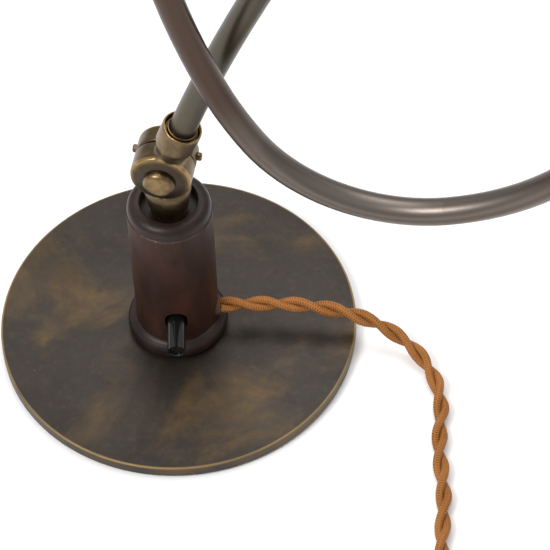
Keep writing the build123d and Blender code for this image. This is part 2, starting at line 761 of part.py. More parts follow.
cap_top = -seat_gap
holder_radius = holder_diameter / 2
cap_outer = holder_cap_diameter / 2
with BuildPart() as holder_cap:
    with BuildSketch(shade_plane):
        with BuildLine():
            Polyline(
                (nipple_radius + seat_gap, cap_top),
                (barrel_diameter / 2, cap_top),
                (barrel_diameter / 2, -2.0),
                (cap_outer - 3.0, -5.0),
                (cap_outer, -9.0),
                (cap_outer, -holder_cap_height),
                (cap_outer - holder_cap_wall, -holder_cap_height),
                (cap_outer - holder_cap_wall, -9.6),
                (cap_outer - 4.0, -6.4),
                (nipple_radius + seat_gap, -4.0),
                close=True,
            )
        make_face()
    revolve(axis=shade_axis)
save(holder_cap.part, "holder_cap")

shade_top = -shade_drop
holder_bottom = -(holder_drop + holder_length)
save(turned([
    (nipple_radius + 1.0, -holder_drop),
    (holder_radius - holder_round, -holder_drop),
    (holder_radius, -holder_drop - 2.0 - holder_cap_wall),
    (holder_radius, holder_bottom),
    (holder_bore / 2, holder_bottom),
    (holder_bore / 2, holder_bottom + bulb_cap_length + 2.0),
    (nipple_radius + 1.0, holder_bottom + bulb_cap_length + 4.0),
], shade_plane, shade_axis), "lampholder")

save(turned([
    (holder_radius + seat_gap, shade_top - shade_wall - seat_gap),
    (shade_ring_diameter / 2, shade_top - shade_wall - seat_gap),
    (shade_ring_diameter / 2, shade_top - shade_wall - shade_ring_height),
    (holder_radius + seat_gap, shade_top - shade_wall - shade_ring_height),
], shade_plane, shade_axis), "shade_ring")

slope = radians(shade_slope)
shoulder_x = shade_top_diameter / 2 + shade_shoulder_radius * sin(slope)
shoulder_z = shade_top - shade_shoulder_radius * (1 - cos(slope))
rim_z = shade_top - shade_height
rim_x = shoulder_x + (shoulder_z - rim_z) / tan(slope)
inner_shoulder = shade_shoulder_radius - shade_wall
inner_x = shade_top_diameter / 2 + inner_shoulder * sin(slope)
inner_z = shade_top - shade_wall - inner_shoulder * (1 - cos(slope))
inner_rim_x = inner_x + (inner_z - rim_z) / tan(slope)
half_slope = slope / 2
with BuildPart() as shade:
    with BuildSketch(shade_plane):
        with BuildLine():
            Line((holder_radius + seat_gap, shade_top), (shade_top_diameter / 2, shade_top))
            ThreePointArc(
                (shade_top_diameter / 2, shade_top),
                (shade_top_diameter / 2 + shade_shoulder_radius * sin(half_slope),
                 shade_top - shade_shoulder_radius * (1 - cos(half_slope))),
                (shoulder_x, shoulder_z),
            )
            Line((shoulder_x, shoulder_z), (rim_x, rim_z))
            Line((rim_x, rim_z), (inner_rim_x, rim_z))
            Line((inner_rim_x, rim_z), (inner_x, inner_z))
            ThreePointArc(
                (inner_x, inner_z),
                (shade_top_diameter / 2 + inner_shoulder * sin(half_slope),
                 shade_top - shade_wall - inner_shoulder * (1 - cos(half_slope))),
                (shade_top_diameter / 2, shade_top - shade_wall),
            )
            Line((shade_top_diameter / 2, shade_top - shade_wall),
                 (holder_radius + seat_gap, shade_top - shade_wall))
            Line((holder_radius + seat_gap, shade_top - shade_wall), (holder_radius + seat_gap, shade_top))
        make_face()
        with Locations(((rim_x + inner_rim_x) / 2, rim_z)):
            Circle(shade_bead)
    revolve(axis=shade_axis)
save(shade.part, "shade")

bulb_radius = bulb_diameter / 2
bulb_neck = bulb_cap_diameter / 2 + bulb_neck_flare
globe_z = holder_bottom - bulb_shoulder - sqrt(bulb_radius ** 2 - bulb_neck ** 2)
with BuildPart() as bulb:
    with BuildSketch(shade_plane):
        with BuildLine():
            Line((0, globe_z - bulb_radius), (0, holder_bottom - seat_gap))
            Line((0, holder_bottom - seat_gap), (bulb_neck, holder_bottom - seat_gap))
            Line((bulb_neck, holder_bottom - seat_gap), (bulb_neck, holder_bottom - bulb_shoulder))
            ThreePointArc((bulb_neck, holder_bottom - bulb_shoulder), (bulb_radius, globe_z),
                          (0, globe_z - bulb_radius))
        make_face()
    revolve(axis=shade_axis)
save(bulb.part, "bulb")

save(turned([
    (0, holder_bottom),
    (bulb_cap_diameter / 2, holder_bottom),
    (bulb_cap_diameter / 2, holder_bottom + bulb_cap_length - bulb_cap_taper),
    (bulb_contact_diameter / 2, holder_bottom + bulb_cap_length),
    (0, holder_bottom + bulb_cap_length),
], shade_plane, shade_axis), "bulb_cap")

# Cord: its free stretch from the bush to the coil. The coil is wound clockwise from its
# side nearest the cord, down one layer of turns and back over it in the next.
coil_outer = coil_turn_radii[-1]
coil_x, coil_y = coil_centre
first_turn_z = coil_floor + cord_diameter / 2
cord_points = [
    (bush_face, cord_exit_side, cord_exit_height),
    (38.0, cord_exit_side, cord_exit_height),
    (60.0, -5.0, 22.5),
    (84.0, -9.0, 19.5),
    (104.0, -15.5, 11.0),
    (118.0, -29.0, 4.6),
    (123.5, -50.0, 3.9),
    (119.5, -75.0, 3.9),
    (121.0, -103.0, 3.9),
    (117.0, -131.0, 3.9),
    (118.6, -158.0, 4.2),
    (coil_x + coil_outer, coil_y + 18.0, first_turn_z),
]
last_turn_z = first_turn_z + coil_pitch * (coil_layers - 1)
plug_axis_height = plug_diameter / 2 + plug_clearance
tail_points = [
    (coil_x + 8.0, coil_y - coil_outer, last_turn_z),
    (coil_x - 8.0, coil_y - coil_outer - 0.2, last_turn_z + 0.8),
    (coil_x - 22.0, coil_y - coil_outer - 0.6, plug_axis_height),
    (coil_x - 36.0, coil_y - coil_outer - 0.6, plug_axis_height),
]


def cord_tube(points, label):
    """A plain tube along straight runs joined by the largest arcs that they allow."""
    corners = [Vector(point) for point in points]
    radii = []
    for before, corner, after in zip(corners, corners[1:], corners[2:]):
        turn = radians((corner - before).get_angle(after - corner))
        shorter = min((corner - before).length, (after - corner).length)
        radii.append(0.45 * shorter / tan(turn / 2))
    print(label, "radii", [round(radius, 1) for radius in radii])
    with BuildPart() as tube:
        with BuildLine() as route:
            FilletPolyline(*points, radius=radii)
        with BuildSketch(Plane(origin=route.line @ 0, z_dir=route.line % 0)):
            Circle(cord_diameter / 2)
        sweep()
    length = sum(edge.length for edge in route.edges())
    section = pi * (cord_diameter / 2) ** 2
    print(label, "length", length, "volume / (section x length)", tube.part.volume / (section * length))
    return tube.part


save(cord_tube(cord_points, "cord_run"), "cord_run")
save(cord_tube(tail_points, "cord_tail"), "cord_tail")

coil_inner_edge = coil_turn_radii[0] - cord_diameter / 2
coil_outer_edge = coil_turn_radii[-1] + cord_diameter / 2
coil_height = cord_diameter + coil_pitch * (coil_layers - 1)
with BuildPart() as cord_coil:
    with BuildSketch(Plane.XY.offset(coil_floor)):
        with Locations(coil_centre):
            Circle(coil_outer_edge)
            Circle(coil_inner_edge, mode=Mode.SUBTRACT)
    extrude(amount=coil_height)
    fillet(cord_coil.edges().filter_by(GeomType.CIRCLE), coil_round)
save(cord_coil.part, "cord_coil")

tie_inside = (coil_outer_edge - coil_inner_edge + tie_slack[0], coil_height + tie_slack[1])
tie_x = coil_x - (coil_inner_edge + coil_outer_edge) / 2
tie_plane = Plane(origin=(tie_x, coil_y, coil_floor + coil_height / 2), x_dir=(1, 0, 0), z_dir=(0, 1, 0))
with BuildPart() as cord_tie:
    with BuildSketch(tie_plane):
        RectangleRounded(tie_inside[0] + 2 * tie_thickness, tie_inside[1] + 2 * tie_thickness, tie_round)
        RectangleRounded(*tie_inside, tie_round - tie_thickness, mode=Mode.SUBTRACT)
    extrude(amount=tie_width / 2, both=True)
save(cord_tie.part, "cord_tie")

# Plug, lying beside the coil with its pins along -X
plug_start = Vector(tail_points[-1])
plug_plane = Plane(origin=plug_start, x_dir=(-1, 0, 0), z_dir=(0, 1, 0))
plug_axis = Axis(plug_start, (-1, 0, 0))
plug_radius = plug_diameter / 2
plug_face_centre = plug_start + Vector(-plug_sleeve_length - plug_length, 0, 0)
with BuildPart() as plug_body:
    with BuildSketch(plug_plane):
        with BuildLine():
            Polyline(
                (0, 0),
                (0, cord_diameter / 2 + plug_sleeve_wall),
                (plug_sleeve_length - plug_sleeve_taper, plug_sleeve_diameter / 2),
                (plug_sleeve_length, plug_sleeve_diameter / 2 + plug_sleeve_wall),
                (plug_sleeve_length + plug_cone, plug_radius),
                (plug_sleeve_length + plug_length, plug_radius),
                (plug_sleeve_length + plug_length, 0),
                close=True,
            )
        make_face()
    revolve(axis=plug_axis)
    plug_face = plug_body.faces().sort_by(Axis.X)[0]
    fillet(plug_face.outer_wire().edges(), plug_face_round)
    with BuildSketch(Plane(origin=plug_face_centre, x_dir=(0, 1, 0), z_dir=(1, 0, 0))):
        with GridLocations(plug_pin_spacing, 0, 2, 1):
            Circle(plug_pin_diameter / 2 + seat_gap)
    extrude(amount=plug_pin_seat + seat_gap, mode=Mode.SUBTRACT)
save(plug_body.part, "plug_body")

with BuildPart() as plug_pins:
    with BuildSketch(Plane(origin=plug_face_centre + Vector(plug_pin_seat, 0, 0),
                           x_dir=(0, 1, 0), z_dir=(-1, 0, 0))):
        with GridLocations(plug_pin_spacing, 0, 2, 1):
            Circle(plug_pin_diameter / 2)
    extrude(amount=plug_pin_length + plug_pin_seat)
    pin_ends = plug_pins.faces().sort_by(Axis.X)
    fillet(pin_ends[0].edges() + pin_ends[1].edges(), plug_pin_round)
save(plug_pins.part, "plug_pins")
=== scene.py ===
"""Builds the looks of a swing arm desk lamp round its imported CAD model."""

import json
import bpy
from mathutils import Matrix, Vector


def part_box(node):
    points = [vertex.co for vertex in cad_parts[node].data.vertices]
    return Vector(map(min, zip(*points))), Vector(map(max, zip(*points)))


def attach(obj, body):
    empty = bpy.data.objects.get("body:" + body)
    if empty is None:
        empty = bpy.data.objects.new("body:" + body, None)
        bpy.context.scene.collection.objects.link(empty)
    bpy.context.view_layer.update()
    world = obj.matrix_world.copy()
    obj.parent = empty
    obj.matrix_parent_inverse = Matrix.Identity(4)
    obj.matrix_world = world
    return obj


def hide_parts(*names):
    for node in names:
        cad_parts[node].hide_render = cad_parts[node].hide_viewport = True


bl_info = {
    "name": "Swing Arm Desk Lamp",
    "version": (1, 0, 0),
    "blender": (4, 5, 0),
    "location": "3D View > Sidebar > Desk Lamp",
    "description": "Finishes, twisted cloth cord and studio for a bronze swing arm desk lamp",
    "category": "Object",
}

from math import cos, pi, radians, sin, tau

import bmesh
import bpy
import numpy as np
from bpy.props import FloatProperty, FloatVectorProperty, IntProperty, PointerProperty
from mathutils import Matrix, Vector

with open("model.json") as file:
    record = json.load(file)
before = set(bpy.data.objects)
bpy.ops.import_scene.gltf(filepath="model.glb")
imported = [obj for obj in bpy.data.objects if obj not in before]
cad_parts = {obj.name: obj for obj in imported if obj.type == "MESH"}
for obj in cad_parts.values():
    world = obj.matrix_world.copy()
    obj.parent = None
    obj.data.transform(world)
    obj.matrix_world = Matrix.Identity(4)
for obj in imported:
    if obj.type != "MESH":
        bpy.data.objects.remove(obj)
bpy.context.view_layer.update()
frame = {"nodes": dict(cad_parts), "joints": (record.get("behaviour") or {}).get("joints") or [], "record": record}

# Places shared with the CAD source, in metres
foot_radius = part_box("base_disc")[1].x
disc_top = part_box("base_disc")[1].z
column_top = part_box("column_body")[1].z
joint_centres = {joint["name"]: Vector(joint["pos_m"]) for joint in frame["joints"]}
body_of = {node: body for body, nodes in frame["record"]["behaviour"]["bodies"].items()
           for node in nodes}
swing_turn = radians(12)                  # how far the arms' plane is turned from the X axis
across = Vector((cos(swing_turn), -sin(swing_turn), 0))
toward_front = Vector((-sin(swing_turn), -cos(swing_turn), 0))

# The cord's control points, from the column to the coil and from the coil to the plug
cord_route = (
    (0.02037, -0.003, 0.022),
    (0.038, -0.003, 0.022),
    (0.060, -0.005, 0.0225),
    (0.084, -0.009, 0.0195),
    (0.104, -0.0155, 0.011),
    (0.118, -0.029, 0.0046),
    (0.1235, -0.050, 0.0039),
    (0.1195, -0.075, 0.0039),
    (0.121, -0.103, 0.0039),
    (0.117, -0.131, 0.0039),
    (0.1186, -0.158, 0.0042),
    (0.119, -0.182, 0.0048),
)
cord_tail = (
    (0.078, -0.249, 0.0126),
    (0.062, -0.2492, 0.0134),
    (0.048, -0.2496, 0.0156),
    (0.034, -0.2496, 0.0156),
)
coil_centre = Vector((0.070, -0.200, 0))
coil_radii = (0.0495, 0.0415, 0.0335)     # the lower layer's turns, from the outside in
coil_layers = (0.0048, 0.0126)            # heights of the turns' middles
coil_return_step = 0.0072                 # what each turn of the upper layer adds to the radius
coil_return_turns = 2.25
coil_jog = 0.84                           # where in a turn the cord steps in beside itself
coil_rise = coil_jog - 0.1                # where in the last lower turn it climbs to the upper layer
points_per_turn = 16
strand_step = 0.0012                      # length of one ring of faces along a strand
strand_corners = 14
merge_distance = 1e-6

camera_place = (0.04686, -0.75735, 1.0368)
camera_pitch = 52.78                      # degrees that the camera looks down from level
camera_heading = -2.01                    # degrees that it is turned from +Y
floor_width = 9

# Heights between which the arm's paler, greyer lower part (painted light) gives way to its browner, darker upper
# part (painted shade)
arm_painted_light_heights = (0.160, 0.212)
tube_slant = 0.33                         # the draw marks' angle to the vertical, in radians
drum_band = (0.0122, 0.0134, 0.0150)      # the drum's rubbed edge: where it starts, peaks and ends
mouth_band = (0.0074, 0.0086, 0.0096)     # the same for a barrel's mouth
mouth_ends = (0.0318, 0.0338)             # heights of the mouth's band along the barrel
drum_recess = (0.0072, 0.0126)            # the dark ring of the drum's face, inside and outside

# Profiles for the lathe, as (radius, height) pairs
collar_profile = (
    (0.00605, 0.0275), (0.0077, 0.0275), (0.0077, 0.0300), (0.0074, 0.0304), (0.0069, 0.0305),
    (0.0069, 0.0316), (0.0067, 0.0320), (0.0063, 0.0321), (0.00605, 0.0319), (0.00605, 0.0275),
)
shade_crown = 0.019                       # radius of the shade's flat crown
shade_shoulder = 0.030                    # radius of the curve from the crown to the slope
shade_slope = radians(60)
shade_steps = 8                           # rows of faces in the shoulder, and in the slope
shade_wall = 0.001
shade_bead = 0.0013                       # radius of the rolled rim
bulb_rows = 24
bulb_neck = 0.0074
plug_sleeve = 0.020                       # length of the plug's ribbed sleeve
plug_ribs = 5
plug_grooves = 3

# Each knuckle half: its joint, the distance from the split to the drum's outer face, the side of
# the split that it is on, its barrel's direction in degrees and the barrel's distance from the split
knuckle_edges = {
    "neck": ("stem_tilt", 0.0097, -1, -90.0, 0.0048),
    "stem_knuckle": ("stem_tilt", 0.011, 1, 71.1, 0.005),
    "elbow_rear": ("elbow_tilt", 0.0165, -1, 90.0, 0.010),
    "elbow_front": ("elbow_tilt", 0.0165, 1, 237.4, 0.010),
    "shade_knuckle_front": ("shade_tilt", 0.0165, 1, 20.0, 0.010),
    "shade_knuckle_rear": ("shade_tilt", 0.0165, -1, -90.0, 0.010),
}


class LampColours(bpy.types.PropertyGroup):
    """Colours of the lamp's finishes."""

    patina: FloatVectorProperty(
        name="Patina", description="Dark ground of the base's bronze patina",
        subtype="COLOR", size=4, min=0, max=1, default=(0.045, 0.0380, 0.0330, 1))
    patina_warm: FloatVectorProperty(
        name="Warm patina", description="Golden brown clouds where the patina is thin",
        subtype="COLOR", size=4, min=0, max=1, default=(0.138, 0.089, 0.041, 1))
    rubbed_brass: FloatVectorProperty(
        name="Rubbed brass", description="Bare brass on edges that hands have rubbed",
        subtype="COLOR", size=4, min=0, max=1, default=(0.36, 0.235, 0.098, 1))
    aged_brass: FloatVectorProperty(
        name="Aged brass", description="Brown brass of the knuckles' hollows and flats",
        subtype="COLOR", size=4, min=0, max=1, default=(0.108, 0.075, 0.043, 1))
    stem: FloatVectorProperty(
        name="Stem", description="Greenish grey bronze of the lower tube",
        subtype="COLOR", size=4, min=0, max=1, default=(0.090, 0.080, 0.062, 1))
    arm: FloatVectorProperty(
        name="Arm", description="Brownish grey bronze of the upper tube",
        subtype="COLOR", size=4, min=0, max=1, default=(0.125, 0.099, 0.079, 1))
    column: FloatVectorProperty(
        name="Column", description="Dark red brown lacquer of the column",
        subtype="COLOR", size=4, min=0, max=1, default=(0.029, 0.0110, 0.0066, 1))
    column_ends: FloatVectorProperty(
        name="Column ends", description="Blackened brown of the column's cap and foot ring",
        subtype="COLOR", size=4, min=0, max=1, default=(0.019, 0.0100, 0.0082, 1))
    cord: FloatVectorProperty(
        name="Cord", description="Golden cloth of the twisted cord",
        subtype="COLOR", size=4, min=0, max=1, default=(0.462, 0.186, 0.044, 1))
    enamel: FloatVectorProperty(
        name="Enamel", description="Cream enamel inside the shade",
        subtype="COLOR", size=4, min=0, max=1, default=(0.82, 0.78, 0.68, 1))


class LampCord(bpy.types.PropertyGroup):
    """Sizes of the twisted cord."""

    length: FloatProperty(
        name="Length", description="The cord's real length from the column to its plug",
        unit="LENGTH", min=0.5, max=5, default=1.65)
    strand: FloatProperty(
        name="Strand", description="Diameter of each cloth-covered core",
        unit="LENGTH", min=0.002, max=0.006, default=0.0038)
    lay: FloatProperty(
        name="Lay", description="Length in which the two cores turn once round each other",
        unit="LENGTH", min=0.015, max=0.080, default=0.0325)
    thread: FloatProperty(
        name="Thread", description="Width of one thread of the cloth",
        unit="LENGTH", min=0.0002, max=0.002, default=0.00110)


class LampKnuckles(bpy.types.PropertyGroup):
    """How finely the knuckles are modelled and how far their corners are polished."""

    grain: FloatProperty(
        name="Grain", description="Width of the voxels that the knuckles are rebuilt from",
        unit="LENGTH", min=0.0003, max=0.002, default=0.00045)
    fillet: FloatProperty(
        name="Fillet", description="Radius of the castings' inner corners",
        unit="LENGTH", min=0.0, max=0.005, default=0.0024)
    polish: IntProperty(
        name="Polish", description="How many times the corners are smoothed",
        min=0, max=60, default=14)


class LampStudio(bpy.types.PropertyGroup):
    """The floor, the light and the camera."""

    floor: FloatVectorProperty(
        name="Floor", description="Colour of the floor",
        subtype="COLOR", size=4, min=0, max=1, default=(0.95, 0.95, 0.95, 1))
    sky: FloatProperty(
        name="Sky", description="Strength of the even light from all round",
        min=0, max=5, default=0.72)
    horizon: FloatProperty(
        name="Horizon", description="Brightness of the sky near the floor, as a share of its top",
        min=0, max=1, default=0.66)
    key: FloatProperty(
        name="Key light", description="Power of the large lamp at the upper left",
        unit="POWER", min=0, max=500, default=22)
    fill: FloatProperty(
        name="Top light", description="Power of the soft box overhead",
        unit="POWER", min=0, max=500, default=16)
    lens: FloatProperty(
        name="Lens", description="Focal length of the camera",
        unit="CAMERA", min=20, max=400, default=174.8)


# ---- shader nodes ---------------------------------------------------------------------------

def add_node(tree, kind, inputs=None, **options):
    """A node with its options set, and each named input linked to a socket or given a value."""
    made = tree.nodes.new(kind)
    for name, value in options.items():
        setattr(made, name, value)
    for name, value in (inputs or {}).items():
        if isinstance(value, bpy.types.NodeSocket):
            tree.links.new(value, made.inputs[name])
        else:
            made.inputs[name].default_value = value
    return made


def calc(tree, operation, first, second=0.0, third=0.0):
    """One step of arithmetic."""
    step = add_node(tree, "ShaderNodeMath", {0: first, 1: second, 2: third}, operation=operation)
    return step.outputs[0]


def times(tree, first, second):
    return calc(tree, "MULTIPLY", first, second)


def blend_colours(tree, factor, first, second):
    """The first colour where the factor is 0 and the second where it is 1."""
    mixed = add_node(tree, "ShaderNodeMix", {0: factor, 6: first, 7: second},
                     data_type="RGBA", blend_type="MIX", clamp_factor=True)
    return mixed.outputs[2]


def fade(tree, value, low, high):
    """0 below low, 1 above high and smooth between; it falls where low is above high."""
    rising = low < high
    spread = add_node(
        tree, "ShaderNodeMapRange",
        {"Value": value, "From Min": min(low, high), "From Max": max(low, high),
         "To Min": 0.0 if rising else 1.0, "To Max": 1.0 if rising else 0.0},
        interpolation_type="SMOOTHSTEP")
    return spread.outputs["Result"]


def clouds(tree, place, scale, detail=3.0, rough=0.5, distortion=0.0):
    """Soft noise between 0 and 1; scale is how many clouds there are to the metre."""
    return add_node(
        tree, "ShaderNodeTexNoise",
        {"Vector": place, "Scale": scale, "Detail": detail, "Roughness": rough,
         "Distortion": distortion}).outputs["Fac"]


def place_about(tree, centre=(0, 0, 0), turn=(0, 0, 0), stretch=(1, 1, 1)):
    """Object coordinates measured from a centre, along turned axes."""
    start = add_node(tree, "ShaderNodeTexCoord").outputs["Object"]
    return add_node(tree, "ShaderNodeMapping",
                    {"Vector": start, "Location": centre, "Rotation": turn, "Scale": stretch},
                    vector_type="TEXTURE").outputs["Vector"]


def from_axis(tree, place):
    """How far a place is from its Z axis, and how high along it."""
    split = add_node(tree, "ShaderNodeSeparateXYZ", {"Vector": place})
    flat = add_node(tree, "ShaderNodeCombineXYZ",
                    {"X": split.outputs["X"], "Y": split.outputs["Y"]})
    length = add_node(tree, "ShaderNodeVectorMath", {0: flat.outputs[0]}, operation="LENGTH")
    return length.outputs["Value"], split.outputs["Z"]


def new_finish(name):
    """A material with a bare node tree and its output shader."""
    finish = bpy.data.materials.new(name)
    finish.use_nodes = True
    tree = finish.node_tree
    tree.nodes.clear()
    shader = add_node(tree, "ShaderNodeBsdfPrincipled")
    add_node(tree, "ShaderNodeOutputMaterial", {"Surface": shader.outputs["BSDF"]})
    return finish, tree, shader


def set_shader(tree, shader, colour, roughness, height=None, depth=0.0001, strength=0.3,
               **constants):
    """Links colour, roughness and bump to a shader, and sets its constants on its own sockets."""
    for name, value in (("Base Color", colour), ("Roughness", roughness)):
        if isinstance(value, bpy.types.NodeSocket):
            tree.links.new(value, shader.inputs[name])
        else:
            shader.inputs[name].default_value = value
    for name, value in constants.items():
        shader.inputs[name.replace("_", " ").title().replace("Ior", "IOR")].default_value = value
    if height is not None:
        bump = add_node(tree, "ShaderNodeBump",
                        {"Height": height, "Distance": depth, "Strength": strength})
        tree.links.new(bump.outputs["Normal"], shader.inputs["Normal"])


def rgba(colour):
    """A setting's colour as plain numbers."""
    return tuple(colour)


def shade_of(colour, *shares):
    """A colour with its channels multiplied by one share, or by one share each."""
    if len(shares) == 1:
        shares *= 3
    return tuple(share * channel for share, channel in zip(shares, colour)) + (1,)


def patina_finish(name, ground, warm, bare, rim_radius=None, rim_height=None, centre=(0, 0, 0)):
    """Dark bronze patina: soft warm clouds, fine turning marks, specks and a rubbed rim."""
    finish, tree, shader = new_finish(name)
    place = place_about(tree, centre)
    radius, height = from_axis(tree, place)
    broad = fade(tree, clouds(tree, place, 16, 6, 0.6, 0.7), 0.47, 0.66)
    small = fade(tree, clouds(tree, place, 75, 6, 0.68, 0.4), 0.38, 0.68)
    aside = place_about(tree, (0.3, 0.1, 0), (0, 0, 1))
    # Random darker, cooler clouds in the patina
    cool_clouds = fade(tree, clouds(tree, aside, 26, 3, 0.5), 0.45, 0.75)
    grain = clouds(tree, place, 900, 3, 0.7)
    warmth = times(tree, broad, calc(tree, "MULTIPLY_ADD", small, 0.6, 0.45))
    colour = blend_colours(tree, warmth, ground, warm)
    cool = shade_of(ground, 0.62)
    colour = blend_colours(tree, times(tree, cool_clouds, 0.55), colour, cool)
    colour = blend_colours(tree, times(tree, grain, 0.35), colour, cool)
    pale = shade_of(ground, 1.75, 1.6, 1.45)
    strokes = place_about(tree, turn=(0, 0, 0.6), stretch=(1, 0.16, 1))
    brushed = fade(tree, clouds(tree, strokes, 340, 4, 0.72), 0.5, 0.74)
    mottle = fade(tree, clouds(tree, place, 260, 5, 0.72), 0.48, 0.7)
    colour = blend_colours(tree, times(tree, calc(tree, "ADD", brushed, mottle), 0.3), colour, pale)
    dots = add_node(tree, "ShaderNodeTexVoronoi", {"Vector": place, "Scale": 130.0})
    speck = fade(tree, dots.outputs["Distance"], 0.075, 0.03)
    chosen = fade(tree, clouds(tree, place, 31, 1), 0.58, 0.62)
    colour = blend_colours(tree, times(tree, times(tree, speck, chosen), 0.6), colour, warm)
    if rim_radius:
        edge = fade(tree, radius, rim_radius - 0.0011, rim_radius - 0.0004)
        upper = fade(tree, height, rim_height - 0.0009, rim_height - 0.00035)
        worn = fade(tree, clouds(tree, place, 45, 2), 0.18, 0.5)
        line = times(tree, times(tree, edge, upper), calc(tree, "MULTIPLY_ADD", worn, 0.45, 0.25))
        side = times(tree, edge, fade(tree, clouds(tree, place, 38, 3), 0.3, 0.7))
        colour = blend_colours(tree, times(tree, side, 0.55), colour, warm)
        colour = blend_colours(tree, line, colour, bare)
    rings = add_node(tree, "ShaderNodeCombineXYZ", {"X": times(tree, radius, 30.0), "Y": height})
    turning = clouds(tree, rings.outputs[0], 110, 4, 0.75)
    scratch = clouds(tree, place_about(tree, turn=(0, 0, 0.6), stretch=(1, 0.06, 1)), 260, 2, 0.6)
    relief = calc(tree, "ADD", times(tree, turning, 0.6), times(tree, scratch, 0.5))
    rough = calc(tree, "MULTIPLY_ADD", relief, 0.16, 0.30)
    rough = calc(tree, "MULTIPLY_ADD", small, 0.08, rough)
    set_shader(tree, shader, colour, rough, calc(tree, "MULTIPLY_ADD", grain, 0.4, relief),
               depth=0.00006, strength=0.35, metallic=0.82)
    return finish


def brass_finish(name, aged, bare, frames=(), warmth=0.35, rough=0.30, metallic=0.95, shaded=None):
    """Antique brass.

    Each frame is a centre, a turn and one band that is rubbed bright: three radii, where it starts,
    is brightest and ends, and the heights of its bottom and top. Shaded is a centre, a turn and the
    two radii and the bottom of a ring that has kept its dark patina.
    """
    finish, tree, shader = new_finish(name)
    place = place_about(tree)
    patches = fade(tree, clouds(tree, place, 120, 4, 0.6, 0.4), 0.38, 0.72)
    fine = clouds(tree, place, 1500, 3, 0.7)
    rubbed = times(tree, patches, warmth)
    for centre, turn, (low, peak, high, bottom, top) in frames:
        radius, height = from_axis(tree, place_about(tree, centre, turn))
        band = times(tree, fade(tree, radius, low, peak),
                     fade(tree, radius, high, peak + (high - peak) * 0.2))
        band = times(tree, band, fade(tree, height, bottom, bottom + 0.0008))
        band = times(tree, band, fade(tree, height, top, top - 0.0008))
        uneven = fade(tree, clouds(tree, place, 210, 2), 0.25, 0.6)
        broken = calc(tree, "MULTIPLY_ADD", uneven, 0.45, 0.55)
        rubbed = calc(tree, "MAXIMUM", rubbed, times(tree, band, broken))
    colour = blend_colours(tree, rubbed, aged, bare)
    if shaded:
        centre, turn, (low, high, bottom) = shaded
        radius, height = from_axis(tree, place_about(tree, centre, turn))
        face = times(tree, fade(tree, radius, high, high - 0.0016),
                     fade(tree, radius, low - 0.0006, low))
        face = times(tree, face, fade(tree, height, bottom, bottom + 0.0004))
        patina = shade_of(aged, 0.42, 0.46, 0.62)
        colour = blend_colours(tree, times(tree, face, 0.85), colour, patina)
    dirt = fade(tree, clouds(tree, place, 330, 4, 0.7), 0.55, 0.8)
    dark = shade_of(aged, 0.55)
    colour = blend_colours(tree, times(tree, dirt, 0.5), colour, dark)
    roughness = calc(tree, "MULTIPLY_ADD", fine, 0.12, rough - 0.03)
    roughness = calc(tree, "MULTIPLY_ADD", dirt, 0.08, roughness)
    set_shader(tree, shader, colour, roughness, fine, depth=0.00004, strength=0.3, metallic=metallic)
    return finish


def tube_finish(name, ground, light, painted_light_heights=None):
    """A bronzed tube with faint draw marks and softly lighter patches.

    Below the lower of the two given heights it is painted paler and greyer (painted light), and above the
    upper one browner and darker (painted shade), blending between them.
    """
    finish, tree, shader = new_finish(name)
    place = place_about(tree)
    patches = fade(tree, clouds(tree, place, 34, 3, 0.55, 0.5), 0.40, 0.75)
    fine = clouds(tree, place, 1100, 3, 0.75)
    drawn = place_about(tree, turn=(0, tube_slant, 0), stretch=(1, 1, 0.05))
    marks = clouds(tree, drawn, 420, 3, 0.65)
    colour = blend_colours(tree, times(tree, patches, 0.55), ground, light)
    dark = shade_of(ground, 0.6)
    colour = blend_colours(tree, times(tree, fine, 0.35), colour, dark)
    if painted_light_heights:
        # Painted light and shade by height: the lower part is painted paler and greyer, the upper part browner and
        # darker
        height = add_node(tree, "ShaderNodeSeparateXYZ", {"Vector": place}).outputs["Z"]
        waver = 0.03                           # how far clouds shift the line up or down
        above = fade(tree, calc(tree, "MULTIPLY_ADD", clouds(tree, place, 25, 3), waver, height),
                     painted_light_heights[0] + waver / 2, painted_light_heights[1] + waver / 2)
        # The browner tint is painted shade for the upper part; the paler tint is painted light for the lower part
        brown = shade_of(ground, 0.58, 0.49, 0.46)
        pale = shade_of(ground, 1.32, 1.42, 1.58)
        colour = blend_colours(tree, above, blend_colours(tree, 0.75, colour, pale),
                               blend_colours(tree, 0.95, colour, brown))
    roughness = calc(tree, "MULTIPLY_ADD", marks, 0.14, 0.24)
    roughness = calc(tree, "MULTIPLY_ADD", fine, 0.08, roughness)
    set_shader(tree, shader, colour, roughness, calc(tree, "ADD", fine, marks),
               depth=0.00004, strength=0.25, metallic=0.9)
    return finish


